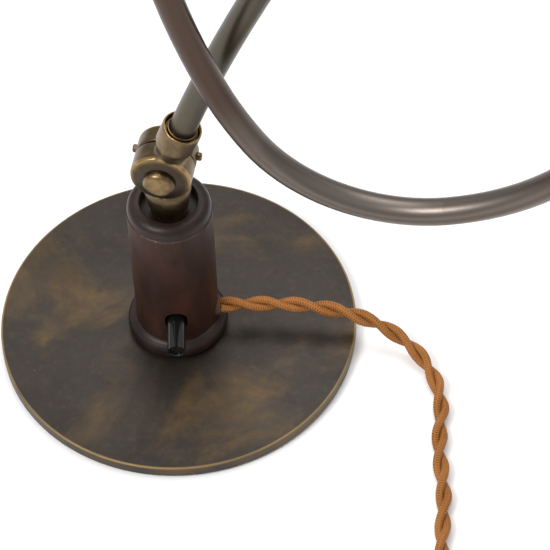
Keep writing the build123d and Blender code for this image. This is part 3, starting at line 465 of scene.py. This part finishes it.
def lacquer_finish(name, ground, scuffed=None, scuff_height=None):
    """Dark lacquer on a turned piece: fine rings, soft clouds and scuffs near the top edge."""
    finish, tree, shader = new_finish(name)
    place = place_about(tree)
    height = from_axis(tree, place)[1]
    soft = fade(tree, clouds(tree, place_about(tree, stretch=(1, 1, 2.5)), 55, 4, 0.6, 0.4), 0.32, 0.75)
    rings = clouds(tree, place_about(tree, stretch=(1, 1, 0.02)), 60, 3, 0.7)
    fine = clouds(tree, place, 1300, 2, 0.6)
    light = shade_of(ground, 1.9)
    dark = shade_of(ground, 0.58)
    colour = blend_colours(tree, soft, dark, light)
    colour = blend_colours(tree, times(tree, rings, 0.45), colour, dark)
    rubbed = fade(tree, clouds(tree, place_about(tree, stretch=(1, 1, 0.3)), 380, 5, 0.75), 0.52, 0.72)
    colour = blend_colours(tree, times(tree, rubbed, 0.5), colour, light)
    if scuff_height:
        near_top = fade(tree, height, scuff_height - 0.012, scuff_height - 0.001)
        marks = fade(tree, clouds(tree, place, 420, 5, 0.75), 0.60, 0.68)
        colour = blend_colours(tree, times(tree, times(tree, near_top, marks), 0.45), colour, scuffed)
        edge = fade(tree, height, scuff_height - 0.0008, scuff_height - 0.0004)
        worn = fade(tree, clouds(tree, place, 38, 3), 0.42, 0.66)
        colour = blend_colours(tree, times(tree, times(tree, edge, worn), 0.16), colour, scuffed)
    roughness = calc(tree, "MULTIPLY_ADD", fine, 0.14, 0.33)
    set_shader(tree, shader, colour, roughness,
               calc(tree, "MULTIPLY_ADD", rings, 1.0, times(tree, fine, 0.5)),
               depth=0.00005, strength=0.3, specular_ior_level=0.26)
    return finish


def axis_frame(centre, direction):
    """A centre and the turn that lays Z along a direction, for place_about."""
    return tuple(centre), tuple(Vector(direction).to_track_quat("Z", "Y").to_euler("XYZ"))


def barrel_of(node):
    """Where a knuckle half's barrel starts, and the direction in which it points."""
    joint, outer_face, side, heading, barrel_offset = knuckle_edges[node]
    along = across * cos(radians(heading)) + Vector((0, 0, sin(radians(heading))))
    return joint_centres[joint] + toward_front * side * barrel_offset, along


def knuckle_brass(node, colours):
    """Brass rubbed bright where a knuckle's drum and barrel mouth have their edges."""
    joint, outer_face, side = knuckle_edges[node][:3]
    drum = axis_frame(joint_centres[joint], toward_front * side)
    barrel = axis_frame(*barrel_of(node))
    edge = (*drum_band, outer_face - 0.0020, outer_face + 0.0010)
    return brass_finish(node + "_brass", rgba(colours.aged_brass), rgba(colours.rubbed_brass),
                        [(*drum, edge), (*barrel, (*mouth_band, *mouth_ends))],
                        shaded=(*drum, (*drum_recess, outer_face - 0.0006)))


def plain_finish(name, colour, rough, grain_scale=900, grain_depth=0.00004, **constants):
    """A moulded or pressed piece with a fine grain and slightly uneven colour."""
    finish, tree, shader = new_finish(name)
    place = place_about(tree)
    fine = clouds(tree, place, grain_scale, 3, 0.6)
    uneven = clouds(tree, place, 60, 3, 0.5)
    dark = shade_of(colour, 0.72)
    tint = blend_colours(tree, times(tree, uneven, 0.6), colour, dark)
    roughness = calc(tree, "MULTIPLY_ADD", fine, 0.12, rough - 0.05)
    set_shader(tree, shader, tint, roughness, fine, depth=grain_depth, strength=0.25, **constants)
    return finish


def opal_finish():
    return plain_finish("opal_glass", (0.93, 0.91, 0.86, 1), 0.14, coat_weight=0.5)


def cloth_finish(name, colour, thread, girth):
    """Braided cloth on a strand: two sets of threads crossing on the strand's own map, with painted shade in the
    grooves between them.
    """
    finish, tree, shader = new_finish(name)
    along = add_node(tree, "ShaderNodeSeparateXYZ",
                     {"Vector": add_node(tree, "ShaderNodeTexCoord").outputs["UV"]})
    around, length = along.outputs["X"], along.outputs["Y"]
    ends = round(girth / thread / 4)           # threads of one set, counted round the strand
    waves = []
    for slant in (1, -1):
        turns = times(tree, around, float(slant * ends) * tau)
        steps = times(tree, length, tau / thread)
        wave = calc(tree, "SINE", calc(tree, "ADD", turns, steps))
        waves.append(calc(tree, "POWER", calc(tree, "MULTIPLY_ADD", wave, 0.5, 0.5), 2.0))
    weave = calc(tree, "MAXIMUM", *waves)
    place = place_about(tree)
    fibres = clouds(tree, place, 5200, 3, 0.7)
    uneven = fade(tree, clouds(tree, place, 75, 3, 0.6), 0.3, 0.75)
    # Painted shade: the grooves between the threads are darkened towards this colour; random fine fibres are
    # darkened towards it too
    groove_shade_and_dark_fibres = shade_of(colour, 0.26, 0.20, 0.16)
    pale = (min(1.0, 1.22 * colour[0]), 1.25 * colour[1], 1.5 * colour[2], 1)
    tint = blend_colours(tree, calc(tree, "MULTIPLY_ADD", weave, 0.92, 0.08), groove_shade_and_dark_fibres, colour)
    tint = blend_colours(tree, times(tree, uneven, 0.4), tint, pale)
    tint = blend_colours(tree, times(tree, fibres, 0.4), tint, groove_shade_and_dark_fibres)
    relief = calc(tree, "MULTIPLY_ADD", fibres, 0.25, weave)
    roughness = calc(tree, "MULTIPLY_ADD", fibres, 0.2, 0.48)
    set_shader(tree, shader, tint, roughness, relief, depth=0.00022, strength=0.9,
               specular_ior_level=0.2)
    return finish


# ---- shared steps of the modelling ----------------------------------------------------------

def finish_node(name, finish):
    """Gives a CAD node its finish in every slot."""
    node = frame["nodes"][name]
    node.data.materials.clear()
    node.data.materials.append(finish)


def mesh_piece(name, vertices, faces, finish, uvs=None, smooth=True):
    """A mesh object at the origin from plain lists, with an optional map of one pair per corner."""
    mesh = bpy.data.meshes.new(name)
    mesh.from_pydata(vertices, [], faces)
    if uvs is not None:
        layer = mesh.uv_layers.new(name="UVMap")
        layer.data.foreach_set("uv", np.asarray(uvs, float).ravel())
    mesh.materials.append(finish)
    if smooth:
        mesh.shade_smooth()
    piece = bpy.data.objects.new(name, mesh)
    bpy.context.scene.collection.objects.link(piece)
    return piece


def clear_selection():
    """Leaves edit mode, with nothing selected."""
    if bpy.context.object and bpy.context.object.mode != "OBJECT":
        bpy.ops.object.mode_set(mode="OBJECT")
    bpy.ops.object.select_all(action="DESELECT")


def select_only(piece):
    clear_selection()
    piece.select_set(True)
    bpy.context.view_layer.objects.active = piece


def turn_on_lathe(name, profile, corners=96):
    """Adds a ring and draws it out along a profile of (radius, height) pairs about Z."""
    clear_selection()
    bpy.ops.mesh.primitive_circle_add(vertices=corners, radius=profile[0][0])
    piece = bpy.context.object
    piece.name = piece.data.name = name
    bpy.ops.object.mode_set(mode="EDIT")
    bpy.ops.mesh.select_all(action="SELECT")
    bpy.ops.transform.translate(value=(0, 0, profile[0][1]))
    for (radius, height), (next_radius, next_height) in zip(profile, profile[1:]):
        rise = (0, 0, next_height - height)
        bpy.ops.mesh.extrude_region_move(TRANSFORM_OT_translate={"value": rise})
        grown = next_radius / radius
        bpy.ops.transform.resize(value=(grown, grown, 1), center_override=(0, 0, next_height))
    bpy.ops.mesh.select_all(action="SELECT")
    bpy.ops.mesh.remove_doubles(threshold=merge_distance)
    bpy.ops.mesh.normals_make_consistent(inside=False)
    bpy.ops.object.mode_set(mode="OBJECT")
    return piece


def apply_modifier(piece, kind, **options):
    """Adds one modifier with its options set, and applies it."""
    select_only(piece)
    modifier = piece.modifiers.new(kind.lower(), kind)
    for name, value in options.items():
        setattr(modifier, name, value)
    bpy.ops.object.modifier_apply(modifier=modifier.name)


def put(piece, place):
    """Moves a piece's mesh to its place, and leaves its object at the origin."""
    piece.data.transform(place)
    piece.data.update()


def own_piece(piece, body, finishes, replaced, smooth_angle=40):
    """Finishes a new piece, and makes it ride on a body and stand for CAD nodes."""
    if finishes:
        piece.data.materials.clear()
    for finish in finishes:
        piece.data.materials.append(finish)
    select_only(piece)
    bpy.ops.object.shade_smooth_by_angle(angle=radians(smooth_angle))
    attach(piece, body)
    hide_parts(*replaced)


def line_of(curve_object):
    """The points of a curve that has no bevel, in order along it."""
    flat = bpy.data.meshes.new_from_object(curve_object)
    points = np.array([vertex.co for vertex in flat.vertices], float)
    bpy.data.meshes.remove(flat)
    return points


def spaced(points, step):
    """Points at even steps along a line, its two ends kept."""
    gaps = np.linalg.norm(np.diff(points, axis=0), axis=1)
    along = np.concatenate([[0.0], np.cumsum(gaps)])
    marks = np.linspace(0.0, along[-1], int(round(along[-1] / step)) + 1)
    return np.stack([np.interp(marks, along, points[:, axis]) for axis in range(3)], axis=1), marks


def side_vectors(points):
    """A tangent and two side directions at each point, carried along without twist."""
    tangents = np.gradient(points, axis=0)
    tangents /= np.linalg.norm(tangents, axis=1)[:, None]
    sides = np.zeros_like(points)
    side = np.cross(tangents[0], (0.0, 0.0, 1.0))
    for index, tangent in enumerate(tangents):
        side = side - tangent * side.dot(tangent)
        side /= np.linalg.norm(side)
        sides[index] = side
    return tangents, sides, np.cross(tangents, sides)


def on_coil(radius, turn, height):
    """A point of the coil, after so many turns."""
    return tuple(coil_centre + Vector((radius * cos(tau * turn), -radius * sin(tau * turn), height)))


def cord_spline_points():
    """The route to the coil, the coil's two layers of turns, and the tail, as control points."""
    points = list(cord_route)
    lower_turns = len(coil_radii)
    low, high = coil_layers
    for count in range(lower_turns * points_per_turn):
        turn = count / points_per_turn
        ring = int(turn)
        part = turn - ring
        radius = coil_radii[ring]
        height = low
        if part > coil_jog and ring + 1 < lower_turns:
            radius += (coil_radii[ring + 1] - radius) * (part - coil_jog) / (1 - coil_jog)
        if ring + 1 == lower_turns and part > coil_rise:
            height += (high - low) * (part - coil_rise) / (1 - coil_rise)
        points.append(on_coil(radius, turn, height))
    for count in range(int(coil_return_turns * points_per_turn)):
        turn = count / points_per_turn
        points.append(on_coil(coil_radii[-1] + coil_return_step * turn, turn, high))
    return points + list(cord_tail)


# ---- operators ------------------------------------------------------------------------------

class LAMP_OT_studio(bpy.types.Operator):
    """Sets up the camera, the floor and the soft light"""

    bl_idname = "lamp.studio"
    bl_label = "Studio"

    def execute(self, context):
        studio = context.scene.lamp_studio
        bpy.ops.object.camera_add(location=camera_place)
        camera = context.object
        camera.rotation_mode = "ZYX"
        camera.rotation_euler = (radians(90 - camera_pitch), 0, radians(camera_heading))
        camera.data.lens = studio.lens
        camera.data.clip_start = 0.01
        context.scene.camera = camera

        bpy.ops.mesh.primitive_plane_add(size=floor_width)
        floor = context.object
        floor.name = "floor"
        paper, tree, shader = new_finish("floor")
        set_shader(tree, shader, rgba(studio.floor), 0.7, specular_ior_level=0.2)
        floor.data.materials.append(paper)

        aim = Vector((0, 0, 0.1))
        for name, place, size, power in (
            ("key_light", (-0.95, -0.80, 1.55), 0.75, studio.key),
            ("top_light", (0.15, 0.55, 1.9), 1.3, studio.fill),
        ):
            bpy.ops.object.light_add(type="AREA", location=place)
            light = context.object
            light.name = name
            light.data.size = size
            light.data.energy = power
            light.rotation_mode = "QUATERNION"
            light.rotation_quaternion = (aim - Vector(place)).to_track_quat("-Z", "Y")

        world = bpy.data.worlds.new("studio")
        context.scene.world = world
        world.use_nodes = True
        sky = world.node_tree.nodes["Background"]
        sky.inputs["Strength"].default_value = studio.sky
        outward = add_node(world.node_tree, "ShaderNodeTexCoord").outputs["Generated"]
        height = add_node(world.node_tree, "ShaderNodeSeparateXYZ", {"Vector": outward}).outputs["Z"]
        rising = fade(world.node_tree, height, 0.05, 0.75)
        dim = shade_of((1.0, 0.99, 0.97), studio.horizon)
        colour = blend_colours(world.node_tree, rising, dim, (1.1, 1.1, 1.1, 1))
        world.node_tree.links.new(colour, sky.inputs["Color"])
        context.scene.view_settings.view_transform = "Standard"
        return {"FINISHED"}


class LAMP_OT_cord(bpy.types.Operator):
    """Lays the twisted cloth cord from the column to its coil and plug"""

    bl_idname = "lamp.cord"
    bl_label = "Cord"

    def execute(self, context):
        sizes = context.scene.lamp_cord
        colours = context.scene.lamp_colours
        control = cord_spline_points()
        line = bpy.data.curves.new("cord_line", "CURVE")
        line.dimensions = "3D"
        spline = line.splines.new("NURBS")
        spline.points.add(len(control) - 1)
        for point, place in zip(spline.points, control):
            point.co = (*place, 1)
        spline.order_u = 3
        spline.use_endpoint_u = True
        spline.resolution_u = 10
        guide = bpy.data.objects.new("cord_line", line)
        context.scene.collection.objects.link(guide)
        route = line_of(guide)
        bpy.data.objects.remove(guide)

        points, marks = spaced(route, strand_step)
        tangents, sides, ups = side_vectors(points)
        strand = sizes.strand / 2
        corners = strand_corners
        vertices, faces, uvs = [], [], []
        for core in (0, 1):
            turn = tau * marks / sizes.lay + core * pi
            offset = (np.cos(turn)[:, None] * sides + np.sin(turn)[:, None] * ups) * strand
            middle = points + offset
            directions, first, second = side_vectors(middle)
            start = len(vertices)
            for ring in range(len(middle)):
                for corner in range(corners):
                    angle = tau * corner / corners
                    outward = cos(angle) * first[ring] + sin(angle) * second[ring]
                    vertices.append(middle[ring] + strand * outward)
            for ring in range(len(middle) - 1):
                for corner in range(corners):
                    after = (corner + 1) % corners
                    low = start + ring * corners
                    faces.append((low + corner, low + after, low + corners + after, low + corners + corner))
                    u, v = corner / corners, (corner + 1) / corners
                    a, b = marks[ring], marks[ring + 1]
                    uvs += [(u, a), (v, a), (v, b), (u, b)]
            for ring, order in ((0, -1), (len(middle) - 1, 1)):
                cap = [start + ring * corners + corner for corner in range(corners)][::order]
                faces.append(tuple(cap))
                uvs += [(0.0, marks[ring])] * corners
        cloth = cloth_finish("cord_cloth", rgba(colours.cord), sizes.thread, pi * sizes.strand)
        cord = mesh_piece("cord", vertices, faces, cloth, uvs)
        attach(cord, "base")
        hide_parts("cord_run", "cord_coil", "cord_tail")
        return {"FINISHED"}


class LAMP_OT_finishes(bpy.types.Operator):
    """Gives every piece that comes from the CAD model its finish"""

    bl_idname = "lamp.finishes"
    bl_label = "Finishes"

    def execute(self, context):
        colours = context.scene.lamp_colours
        aged, bare = rgba(colours.aged_brass), rgba(colours.rubbed_brass)
        finishes = {
            "base_disc": patina_finish("base_patina", rgba(colours.patina), rgba(colours.patina_warm), bare,
                                       foot_radius, disc_top),
            "column_body": lacquer_finish("column_lacquer", rgba(colours.column), (0.30, 0.22, 0.16, 1),
                                          column_top),
            "stem_tube": tube_finish("stem_bronze", rgba(colours.stem), aged),
            # The arm's finish is painted lighter low down and darker higher up: painted light and painted shade
            "arm_tube": tube_finish("arm_bronze", rgba(colours.arm), aged, arm_painted_light_heights),
        }
        ends = lacquer_finish("column_ends", rgba(colours.column_ends))
        knuckle = brass_finish("knuckle_brass", aged, bare)
        button = brass_finish("button_brass", aged, bare, warmth=0.65)
        steel = plain_finish("steel", (0.5, 0.5, 0.5, 1), 0.35, metallic=1.0)
        black = plain_finish("black_phenolic", (0.006, 0.006, 0.006, 1), 0.16, specular_ior_level=0.45)
        fibre = plain_finish("fibre", (0.10, 0.055, 0.035, 1), 0.6)
        lead = plain_finish("lead", (0.62, 0.55, 0.42, 1), 0.5)
        felt = plain_finish("felt", (0.02, 0.02, 0.02, 1), 0.95, grain_scale=2500, grain_depth=0.0003)
        by_slot = {
            "felt": felt, "patina": finishes["base_disc"], "steel": steel,
            "column_brown": finishes["column_body"],
            "column_dark": ends, "bush_brass": button, "knuckle_brass": knuckle, "bright_brass": button,
            "tube_bronze": finishes["arm_tube"], "fibre": fibre, "black_plastic": black, "lead": lead,
            "shade_metal": patina_finish("shade_patina", rgba(colours.patina),
                                         rgba(colours.patina_warm), bare),
            "glass_opal": opal_finish(), "cord_cloth": plain_finish("tie_cloth", (0.09, 0.05, 0.03, 1), 0.8),
        }
        for part in frame["record"]["subparts"]:
            finish_node(part["node"], finishes.get(part["node"], by_slot[part["material_slot"]]))
        return {"FINISHED"}


class LAMP_OT_knuckles(bpy.types.Operator):
    """Softens the cast knuckles, whose corners were rounded by polishing"""

    bl_idname = "lamp.knuckles"
    bl_label = "Knuckles"

    def execute(self, context):
        sizes = context.scene.lamp_knuckles
        for node in knuckle_edges:
            mesh = frame["nodes"][node].data.copy()
            piece = bpy.data.objects.new(node + "_cast", mesh)
            mesh.name = piece.name
            context.scene.collection.objects.link(piece)
            select_only(piece)
            bpy.ops.object.mode_set(mode="EDIT")
            bpy.ops.mesh.select_all(action="SELECT")
            bpy.ops.mesh.remove_doubles(threshold=merge_distance)
            bpy.ops.object.mode_set(mode="OBJECT")
            for layer in list(mesh.attributes):
                if layer.name == "custom_normal":
                    mesh.attributes.remove(layer)
            apply_modifier(piece, "REMESH", mode="VOXEL", voxel_size=sizes.grain)
            # Swelling the casting and shrinking it again rounds its inner corners
            for push in (sizes.fillet, -sizes.fillet):
                apply_modifier(piece, "DISPLACE", strength=push, mid_level=0)
                apply_modifier(piece, "REMESH", mode="VOXEL", voxel_size=sizes.grain)
            apply_modifier(piece, "SMOOTH", factor=0.5, iterations=sizes.polish)
            brass = knuckle_brass(node, context.scene.lamp_colours)
            own_piece(piece, body_of[node], [brass], [node], smooth_angle=75)
        return {"FINISHED"}


class LAMP_OT_collars(bpy.types.Operator):
    """Turns the collars that close the barrels' mouths round the tubes"""

    bl_idname = "lamp.collars"
    bl_label = "Collars"

    def execute(self, context):
        colours = context.scene.lamp_colours
        brass = brass_finish("collar_brass", rgba(colours.aged_brass), rgba(colours.rubbed_brass),
                             warmth=0.8)
        for node, knuckle in (
            ("stem_collar", "stem_knuckle"), ("elbow_stem_collar", "elbow_rear"),
            ("elbow_arm_collar", "elbow_front"), ("shade_arm_collar", "shade_knuckle_front"),
        ):
            origin, along = barrel_of(knuckle)
            ring = turn_on_lathe(node + "_ring", collar_profile, 64)
            put(ring, Matrix.Translation(origin) @ along.to_track_quat("Z", "Y").to_matrix().to_4x4())
            own_piece(ring, body_of[node], [brass], [node])
        return {"FINISHED"}


class LAMP_OT_shade(bpy.types.Operator):
    """Spins the shade with its rolled rim, and blows the bulb"""

    bl_idname = "lamp.shade"
    bl_label = "Shade and bulb"

    def execute(self, context):
        colours = context.scene.lamp_colours
        low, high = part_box("shade")
        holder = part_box("lampholder")
        centre = (low + high) / 2
        rim = high.x - centre.x - shade_bead
        top, bottom = high.z, low.z + shade_bead
        neck = holder[1].x - centre.x + 0.0001
        profile = [(neck, top - 0.0012), (neck, top), (0.0165, top), (shade_crown, top)]
        for step in range(1, shade_steps + 1):
            lean = shade_slope * step / shade_steps
            profile.append((shade_crown + shade_shoulder * sin(lean),
                            top - shade_shoulder * (1 - cos(lean))))
        start = profile[-1]
        for step in range(1, shade_steps + 1):
            part = step / shade_steps
            profile.append((start[0] + (rim - start[0]) * part,
                            start[1] + (bottom - start[1]) * part))
        shell = turn_on_lathe("shade_shell", profile, 128)
        shell.data.materials.append(
            patina_finish("shade_patina", rgba(colours.patina), rgba(colours.patina_warm),
                          rgba(colours.rubbed_brass), rim + shade_bead, bottom,
                          (centre.x, centre.y, 0)))
        # The second slot has to be there before the wall gets its thickness, for the inside
        shell.data.materials.append(
            plain_finish("shade_enamel", rgba(colours.enamel), 0.28, grain_scale=500))
        apply_modifier(shell, "SOLIDIFY", thickness=shade_wall, offset=-1, material_offset=1,
                       material_offset_rim=0)
        bpy.ops.mesh.primitive_torus_add(
            major_radius=rim, minor_radius=shade_bead * 0.98, major_segments=128,
            minor_segments=16, location=(0, 0, bottom))
        bead = context.object
        bead.data.materials.append(shell.data.materials[0])
        clear_selection()
        bead.select_set(True)
        shell.select_set(True)
        context.view_layer.objects.active = shell
        bpy.ops.object.join()
        put(shell, Matrix.Translation((centre.x, centre.y, 0)))
        own_piece(shell, "shade", [], ["shade"])

        low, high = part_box("bulb")
        centre = (low + high) / 2
        radius = high.x - centre.x
        middle = low.z + radius
        outline = [(bulb_neck, high.z), (bulb_neck, high.z - 0.0012)]
        for step in range(3, bulb_rows):
            lean = pi * step / bulb_rows
            outline.append((radius * sin(lean), middle + radius * cos(lean)))
        outline.append((radius * 0.001, middle - radius))
        outline = [point for point in outline if point[1] <= high.z]
        glass = turn_on_lathe("bulb_glass", outline, 64)
        put(glass, Matrix.Translation((centre.x, centre.y, 0)))
        own_piece(glass, "shade",
                  [opal_finish()], ["bulb"])
        return {"FINISHED"}


class LAMP_OT_plug(bpy.types.Operator):
    """Moulds the plug with its ribbed grip and the strap that ties the coil"""

    bl_idname = "lamp.plug"
    bl_label = "Plug and tie"

    def execute(self, context):
        low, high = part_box("plug_body")
        radius = (high.z - low.z) / 2
        length = high.x - low.x
        profile = [(0.0042, 0.0)]
        for rib in range(plug_ribs):
            at = 0.0015 + rib * 0.0034
            wide = 0.0046 + 0.0003 * rib
            narrow = wide - 0.0006
            profile += [(wide, at), (wide, at + 0.0018), (narrow, at + 0.0022), (narrow, at + 0.0030)]
        profile += [(0.0064, plug_sleeve - 0.0012), (0.0068, plug_sleeve),
                    (radius * 0.84, plug_sleeve + 0.0034), (radius * 0.97, plug_sleeve + 0.0052),
                    (radius, plug_sleeve + 0.0075)]
        for groove in range(plug_grooves):
            at = plug_sleeve + 0.0095 + groove * 0.0040
            floor = radius * 0.95
            profile += [(radius, at), (floor, at + 0.0005), (floor, at + 0.0013), (radius, at + 0.0018)]
        profile += [(radius, length - 0.0016), (radius * 0.97, length - 0.0005),
                    (radius * 0.90, length), (0.0135, length), (0.0130, length - 0.0006),
                    (0.0003, length - 0.0006)]
        body = turn_on_lathe("plug", profile, 96)
        middle = (low + high) / 2
        put(body, Matrix(((0, 0, -1, high.x), (0, 1, 0, middle.y), (1, 0, 0, middle.z), (0, 0, 0, 1))))
        black = plain_finish("plug_rubber", (0.012, 0.011, 0.010, 1), 0.42)
        own_piece(body, "base", [black], ["plug_body"])

        low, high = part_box("cord_tie")
        middle, size = (low + high) / 2, high - low
        clear_selection()
        bpy.ops.mesh.primitive_cube_add(size=1)
        strap = context.object
        strap.name = strap.data.name = "coil_strap"
        bpy.ops.object.mode_set(mode="EDIT")
        bpy.ops.transform.resize(value=(size.x, size.y, size.z))
        edges = bmesh.from_edit_mesh(strap.data)
        for face in edges.faces:
            face.select = abs(face.normal.y) > 0.9
        bmesh.update_edit_mesh(strap.data)
        bpy.ops.mesh.delete(type="FACE")
        bpy.ops.mesh.select_all(action="SELECT")
        bpy.ops.mesh.bevel(offset=0.003, segments=6, affect="EDGES")
        bpy.ops.object.mode_set(mode="OBJECT")
        put(strap, Matrix.Translation(middle))
        apply_modifier(strap, "SOLIDIFY", thickness=0.0008, offset=-1)
        apply_modifier(strap, "BEVEL", width=0.0002, segments=2)
        cloth = plain_finish("strap_cloth", (0.05, 0.03, 0.02, 1), 0.8, 3000, 0.0003)
        own_piece(strap, "base", [cloth], ["cord_tie"])
        return {"FINISHED"}


class LAMP_PT_panel(bpy.types.Panel):
    """Lists the steps that build the lamp's looks, and its settings"""

    bl_idname = "LAMP_PT_panel"
    bl_label = "Desk Lamp"
    bl_space_type = "VIEW_3D"
    bl_region_type = "UI"
    bl_category = "Desk Lamp"

    def draw(self, context):
        for step in steps:
            self.layout.operator(step.bl_idname)
        for group in settings_groups:
            settings = getattr(context.scene, group)
            for name in settings.__annotations__:
                self.layout.prop(settings, name)


settings_groups = {"lamp_colours": LampColours, "lamp_cord": LampCord, "lamp_knuckles": LampKnuckles,
                   "lamp_studio": LampStudio}
steps = (LAMP_OT_studio, LAMP_OT_plug, LAMP_OT_cord, LAMP_OT_finishes, LAMP_OT_knuckles, LAMP_OT_collars,
         LAMP_OT_shade)


def register():
    for group in settings_groups.values():
        bpy.utils.register_class(group)
    for name, group in settings_groups.items():
        setattr(bpy.types.Scene, name, PointerProperty(type=group))
    for item in (*steps, LAMP_PT_panel):
        bpy.utils.register_class(item)


def unregister():
    for item in (LAMP_PT_panel, *reversed(steps)):
        bpy.utils.unregister_class(item)
    for name, group in settings_groups.items():
        delattr(bpy.types.Scene, name)
        bpy.utils.unregister_class(group)


def main():
    register()
    bpy.ops.lamp.studio()
    bpy.ops.lamp.plug()
    bpy.ops.lamp.cord()
    bpy.ops.lamp.finishes()
    bpy.ops.lamp.knuckles()
    bpy.ops.lamp.collars()
    bpy.ops.lamp.shade()


if __name__ == "__main__":
    main()
